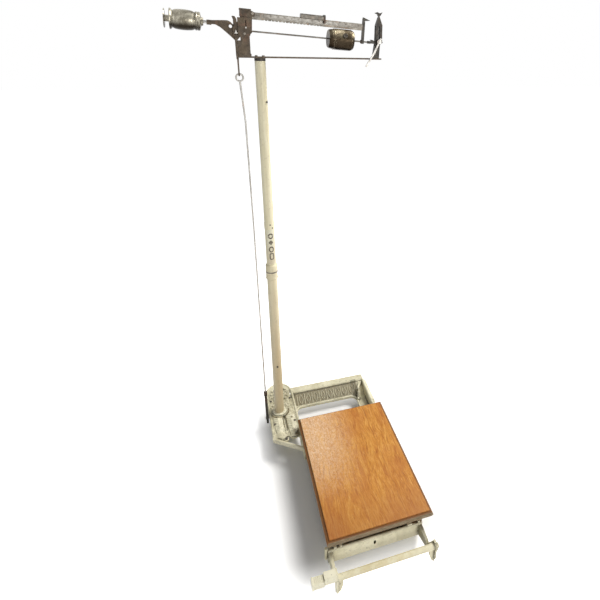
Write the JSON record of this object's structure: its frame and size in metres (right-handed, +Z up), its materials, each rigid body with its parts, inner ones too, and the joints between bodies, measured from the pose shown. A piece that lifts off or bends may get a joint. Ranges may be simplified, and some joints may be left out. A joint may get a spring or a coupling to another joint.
{
  "type": "platform scale",
  "caption": "Upright beam scale: a low platform on levers, a column, and a weighbeam with sliding poises, counterweight and pull rod",
  "frame": {"origin": "on the floor, under the middle of the scale's outline seen from above", "axes": "+Z up along the column, +X to the right along the weighbeam towards its guide post, +Y from the platform's front to the column at the back"},
  "size_m": [0.6252, 0.808, 1.4863],
  "materials": {
    "cream_paint": "worn cream enamel on cast iron",
    "column_paint": "cream enamel on steel tube",
    "dark_iron": "dark brown-black iron",
    "grey_iron": "brown-grey worn iron",
    "dark_steel": "tarnished steel",
    "bright_steel": "ground knife steel",
    "beam_nickel": "worn nickel with graduations",
    "pale_nickel": "pale plated steel",
    "aged_brass": "aged dark brass",
    "aged_nickel": "aged turned nickel",
    "board_wood": "varnished mottled board",
    "edge_strip": "grey-brown worn edge strip"
  },
  "bodies": {
    "stand": {"base_frame": "cream_paint", "foot_plate": "cream_paint", "foot_plate_screws": "dark_steel", "lever_bearing_stands": "dark_iron", "lower_tube": "column_paint", "joint_sleeve": "column_paint", "joint_ring": "dark_steel", "upper_tube": "column_paint", "column_band": "column_paint", "column_screws": "dark_steel", "column_cap": "dark_iron", "carrier_bar": "grey_iron", "carrier_screws": "dark_steel", "fulcrum_stand": "grey_iron", "fulcrum_bearings": "bright_steel", "shield_plate": "grey_iron", "shield_screws": "dark_steel", "guide_post": "dark_iron", "guide_stop_pin": "bright_steel", "guide_finial": "dark_iron", "arrest_pivot": "bright_steel"},
    "relief_gear": {"relief_shaft": "cream_paint", "relief_pedal": "cream_paint", "shaft_end_nut": "cream_paint"},
    "arrest": {"arrest_lever": "pale_nickel"},
    "beam": {"beam_casting": "grey_iron", "fulcrum_knife": "bright_steel", "load_knife": "bright_steel", "graduated_bar": "beam_nickel", "bar_screw": "dark_steel", "lower_rod": "beam_nickel", "end_bracket": "dark_iron", "beam_tip": "dark_iron", "counterweight_spindle": "bright_steel"},
    "small_poise": {"upper_poise": "beam_nickel", "poise_end_plate": "dark_iron"},
    "large_poise": {"cylinder_poise": "aged_brass", "poise_set_screw": "dark_steel"},
    "counterweight": {"counterweight_barrel": "aged_nickel"},
    "locking_disc": {"lock_disc": "aged_nickel"},
    "pull_link": {"load_shackle": "grey_iron", "pull_rod": "pale_nickel", "rod_stirrup": "dark_iron"},
    "main_lever": {"long_lever": "cream_paint", "long_lever_knives": "bright_steel"},
    "second_lever": {"short_lever": "cream_paint", "short_lever_knives": "bright_steel"},
    "link": {"lever_link": "dark_iron"},
    "platform": {"platform_frame": "dark_iron", "platform_board": "board_wood", "platform_moulding": "edge_strip"}
  },
  "joints": [
    {"name": "beam_tilt", "type": "hinge", "parent": "stand", "child": "beam", "pos_m": [-0.10245, 0.24525, 1.422], "axis": [0, -1, 0], "range_deg": [0, 6]},
    {"name": "pull_link_pivot", "type": "hinge", "parent": "beam", "child": "pull_link", "pos_m": [-0.1274, 0.24525, 1.42353], "axis": [0, -1, 0], "range_deg": [-6.5, 0.5]},
    {"name": "main_lever_pivot", "type": "hinge", "parent": "stand", "child": "main_lever", "pos_m": [0.02455, -0.30375, 0.05], "axis": [1, 0, 0], "range_deg": [-0.4, 0.1]},
    {"name": "second_lever_pivot", "type": "hinge", "parent": "stand", "child": "second_lever", "pos_m": [0.05755, 0.11425, 0.05], "axis": [1, 0, 0], "range_deg": [-0.1, 0.4]},
    {"name": "link_drop", "type": "slide", "parent": "stand", "child": "link", "axis": [0, 0, -1], "range_m": [-0.0001, 0.0014]},
    {"name": "platform_drop", "type": "slide", "parent": "stand", "child": "platform", "axis": [0, 0, -1], "range_m": [-0.0001, 0.0004]},
    {"name": "small_poise_slide", "type": "slide", "parent": "beam", "child": "small_poise", "axis": [0.9981, 0, -0.061], "range_m": [-0.125, 0.11]},
    {"name": "large_poise_slide", "type": "slide", "parent": "beam", "child": "large_poise", "axis": [0.9981, 0, -0.061], "range_m": [-0.205, 0.021]},
    {"name": "counterweight_slide", "type": "slide", "parent": "beam", "child": "counterweight", "axis": [0.9981, 0, -0.061], "range_m": [0, 0.008]},
    {"name": "locking_disc_slide", "type": "slide", "parent": "beam", "child": "locking_disc", "axis": [0.9981, 0, -0.061], "range_m": [-0.008, 0]},
    {"name": "arrest_swing", "type": "hinge", "parent": "stand", "child": "arrest", "pos_m": [0.29262, 0.24525, 1.40159], "axis": [0, 1, 0], "range_deg": [-20, 30]},
    {"name": "relief_turn", "type": "hinge", "parent": "stand", "child": "relief_gear", "pos_m": [0.02455, -0.39075, 0.06], "axis": [1, 0, 0], "range_deg": [-40, 0]}
  ],
  "couplings": [
    {"joint": "pull_link_pivot", "follows": "beam_tilt", "ratio": -1},
    {"joint": "main_lever_pivot", "follows": "beam_tilt", "ratio": -0.045537},
    {"joint": "second_lever_pivot", "follows": "beam_tilt", "ratio": 0.045537},
    {"joint": "link_drop", "follows": "beam_tilt", "m_per_rad": 0.0095173},
    {"joint": "platform_drop", "follows": "beam_tilt", "m_per_rad": 0.0022769}
  ]
}
